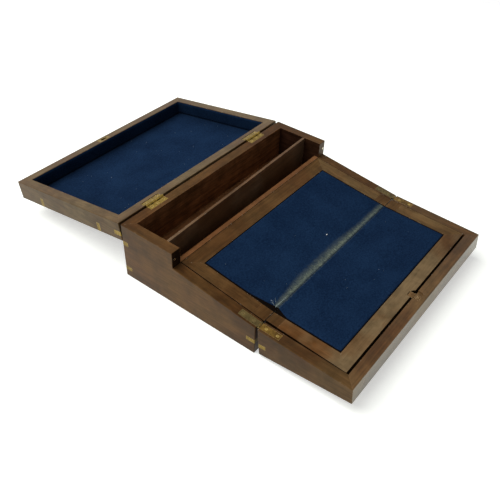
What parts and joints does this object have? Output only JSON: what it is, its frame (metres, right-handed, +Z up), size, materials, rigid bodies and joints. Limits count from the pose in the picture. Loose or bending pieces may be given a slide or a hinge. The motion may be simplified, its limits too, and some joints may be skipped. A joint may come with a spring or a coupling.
{
  "type": "writing slope",
  "caption": "Portable writing slope: a brass-hinged wooden box that opens into a sloping, baize-covered desk with pen troughs, paper spaces under hinged boards, and a lined lid.",
  "frame": {"origin": "centre of the case's flat underside, on the surface it stands on", "axes": "+X to the writer's right, +Y towards the back, where the open lid lies, +Z up"},
  "size_m": [0.356, 0.5966, 0.0929],
  "materials": {
    "case_wood": "waxed mahogany, rubbed, low sheen",
    "board_wood": "waxed mahogany banding, red-brown, satin",
    "inner_wood": "bare dark mahogany, dull",
    "baize": "dark blue wool baize, matt, worn along the fold",
    "brass": "aged brass, dull with bright rubbed edges",
    "iron": "dark steel, dull"
  },
  "bodies": {
    "case": {"case_back_wall": "case_wood", "case_front_wall": "case_wood", "case_left_wall": "case_wood", "case_right_wall": "case_wood", "case_bottom": "case_wood", "partition_rail": "inner_wood", "trough_floor": "inner_wood", "trough_divider": "inner_wood", "case_board_bearers": "inner_wood", "butt_hinge_case_leaves": "brass", "butt_hinge_case_screws": "brass", "butt_hinge_pins": "brass", "strap_hinge_case_leaves": "brass", "strap_hinge_case_screws": "brass", "strap_hinge_pins": "brass", "case_upper_corner_brass": "brass", "case_lower_corner_brass": "brass", "case_front_corner_brass": "brass", "step_studs": "brass"},
    "lid": {"lid_front_wall": "case_wood", "lid_back_wall": "case_wood", "lid_left_wall": "case_wood", "lid_right_wall": "case_wood", "lid_panel": "case_wood", "lid_floor_lining": "baize", "lid_wall_lining": "baize", "butt_hinge_lid_leaves": "brass", "butt_hinge_lid_screws": "brass", "lid_corner_brass": "brass", "lid_edge_brass": "brass", "striker_plate": "brass", "striker_screws": "brass"},
    "flap": {"flap_hinge_wall": "case_wood", "flap_front_wall": "case_wood", "flap_left_wall": "case_wood", "flap_right_wall": "case_wood", "flap_panel": "case_wood", "flap_board_bearers": "inner_wood", "strap_hinge_flap_leaves": "brass", "strap_hinge_flap_screws": "brass", "flap_corner_brass": "brass", "lock_case": "brass", "key_plate": "brass", "turn_catch_screw": "brass"},
    "upper_board": {"upper_board_core": "board_wood", "upper_board_end_band": "board_wood", "upper_board_left_band": "board_wood", "upper_board_right_band": "board_wood", "upper_board_fold_rail": "board_wood", "upper_board_baize": "baize"},
    "lower_board": {"lower_board_core": "board_wood", "lower_board_end_band": "board_wood", "lower_board_left_band": "board_wood", "lower_board_right_band": "board_wood", "lower_board_fold_rail": "board_wood", "lower_board_baize": "baize"},
    "catch": {"turn_catch": "brass"},
    "bolt": {"lock_bolt": "iron"}
  },
  "joints": [
    {"name": "lid_hinge", "type": "hinge", "parent": "case", "child": "lid", "pos_m": [0, 0.11591, 0.0907], "axis": [1, 0, 0], "range_deg": [0, 188.7]},
    {"name": "flap_hinge", "type": "hinge", "parent": "case", "child": "flap", "pos_m": [0, -0.1151, 0.04703], "axis": [-1, 0, 0], "range_deg": [0, 174.7]},
    {"name": "upper_board_hinge", "type": "hinge", "parent": "case", "child": "upper_board", "pos_m": [0, -0.1151, 0.04703], "axis": [-1, 0, 0], "range_deg": [-100, 0]},
    {"name": "lower_board_hinge", "type": "hinge", "parent": "flap", "child": "lower_board", "pos_m": [0, -0.1151, 0.04703], "axis": [1, 0, 0], "range_deg": [-70, 0]},
    {"name": "catch_turn", "type": "hinge", "parent": "flap", "child": "catch", "pos_m": [0.001, -0.24059, 0.04134], "axis": [0, -0.0433, 0.9991], "range_deg": [-90, 0]},
    {"name": "lock_bolt_slide", "type": "slide", "parent": "flap", "child": "bolt", "axis": [0, -0.0924, -0.9957], "range_m": [0, 0.004]}
  ]
}
